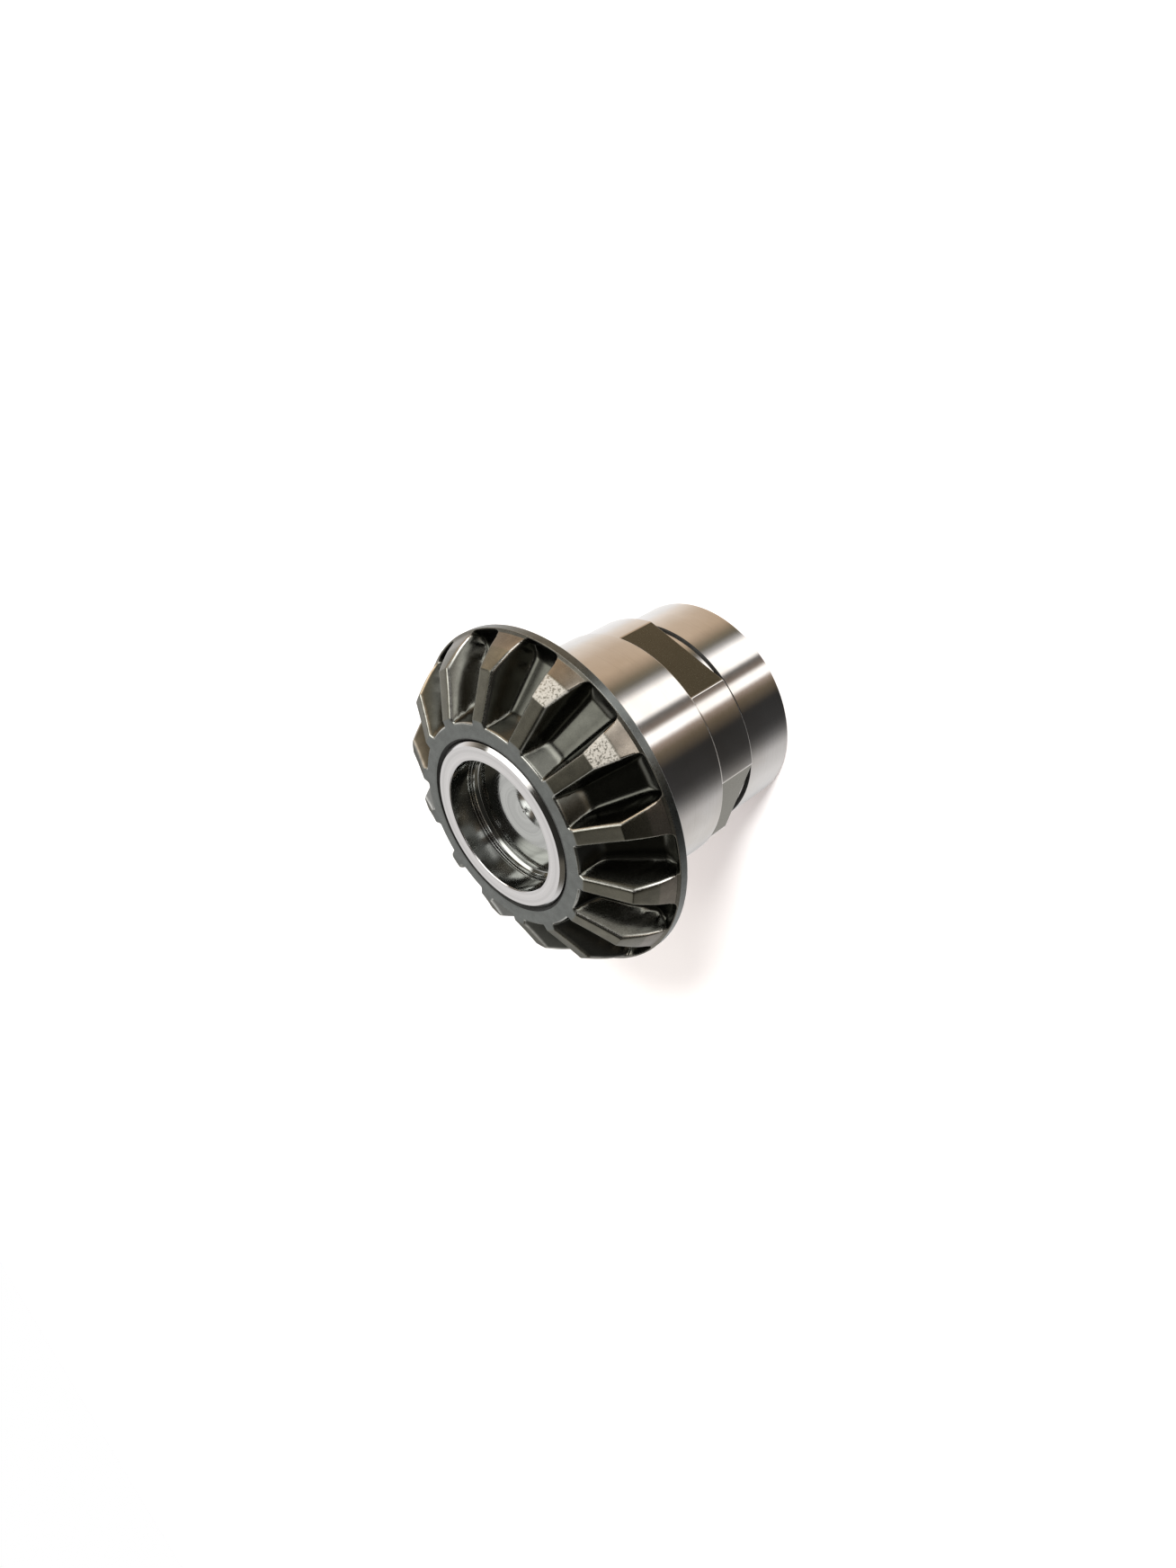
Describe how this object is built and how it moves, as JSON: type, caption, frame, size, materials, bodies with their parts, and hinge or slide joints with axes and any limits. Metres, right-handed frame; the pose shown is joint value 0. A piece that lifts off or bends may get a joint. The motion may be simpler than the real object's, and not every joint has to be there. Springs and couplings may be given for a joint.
{
  "type": "half shaft bevel gear",
  "caption": "Straight bevel side gear with a long hollow hub, a ground journal, a splined bore for a half shaft and a turned cup plug closing the bore behind the teeth.",
  "frame": {"origin": "centre of the hub's end face, which the part stands on", "axes": "+Z along the gear's axis from the hub end to the teeth, +X through the middle of a tooth"},
  "size_m": [0.0802, 0.0802, 0.0676],
  "materials": {
    "gear_steel": "dark phosphated forging with bright ground hub faces",
    "plug_steel": "bright turned"
  },
  "bodies": {
    "root": {"bevel_gear": "gear_steel", "bore_plug": "plug_steel"}
  },
  "joints": []
}
